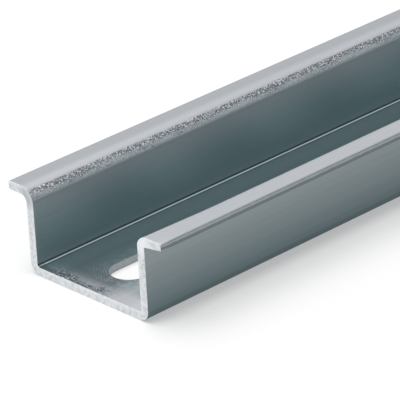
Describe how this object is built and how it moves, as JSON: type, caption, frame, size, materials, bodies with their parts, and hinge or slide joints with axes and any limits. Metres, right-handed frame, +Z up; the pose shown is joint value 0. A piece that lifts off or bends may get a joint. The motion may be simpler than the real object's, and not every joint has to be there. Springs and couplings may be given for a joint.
{
  "type": "din rail",
  "caption": "Top-hat mounting rail formed from one strip of zinc-plated steel, with outward lips that devices clip onto and a row of long fixing slots in its base.",
  "frame": {"origin": "Middle of the rail's underside, half way along its length and width, on the plane that it lies on.", "axes": "+X along the rail, +Y across it, +Z up out of the open side of the channel."},
  "size_m": [0.25, 0.035, 0.015],
  "materials": {
    "zinc_plated_steel": "bright zinc plating with a pale blue passivation, satin, with fine lengthwise rolling marks"
  },
  "bodies": {
    "root": {"rail": "zinc_plated_steel"}
  },
  "joints": []
}
